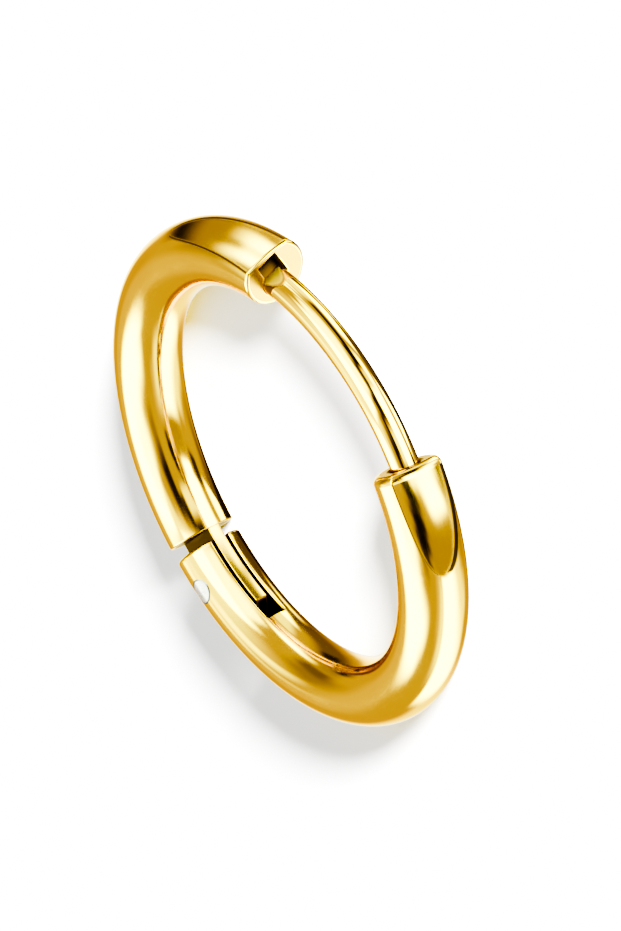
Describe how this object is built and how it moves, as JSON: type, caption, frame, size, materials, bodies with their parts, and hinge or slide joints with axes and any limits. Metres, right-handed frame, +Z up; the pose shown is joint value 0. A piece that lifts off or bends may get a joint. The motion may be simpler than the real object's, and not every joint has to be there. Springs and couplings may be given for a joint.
{
  "type": "hoop earring",
  "caption": "Hinged hoop earring of polished round stock, with a thin ear wire that snaps into a socket in the swinging half's end.",
  "frame": {"origin": "middle of the base of the bounding box; the hoop lies flat on the surface z = 0", "axes": "+Z up, square to the plane of the hoop; +Y from the hinge towards the ear wire; +X towards the half that carries the ear wire"},
  "size_m": [0.0162, 0.0156, 0.0021],
  "materials": {
    "polished_gold": "mirror-polished, gold-coloured plating on stainless steel",
    "pin_steel": "polished steel, bare end"
  },
  "bodies": {
    "wire_half": {"wire_half": "polished_gold", "ear_wire": "polished_gold", "hinge_pin": "pin_steel"},
    "catch_half": {"catch_half": "polished_gold"}
  },
  "joints": [
    {"name": "hinge", "type": "hinge", "parent": "wire_half", "child": "catch_half", "pos_m": [-0.00023, -0.00668, 0.00105], "axis": [0, 0, 1], "range_deg": [0, 70]}
  ]
}
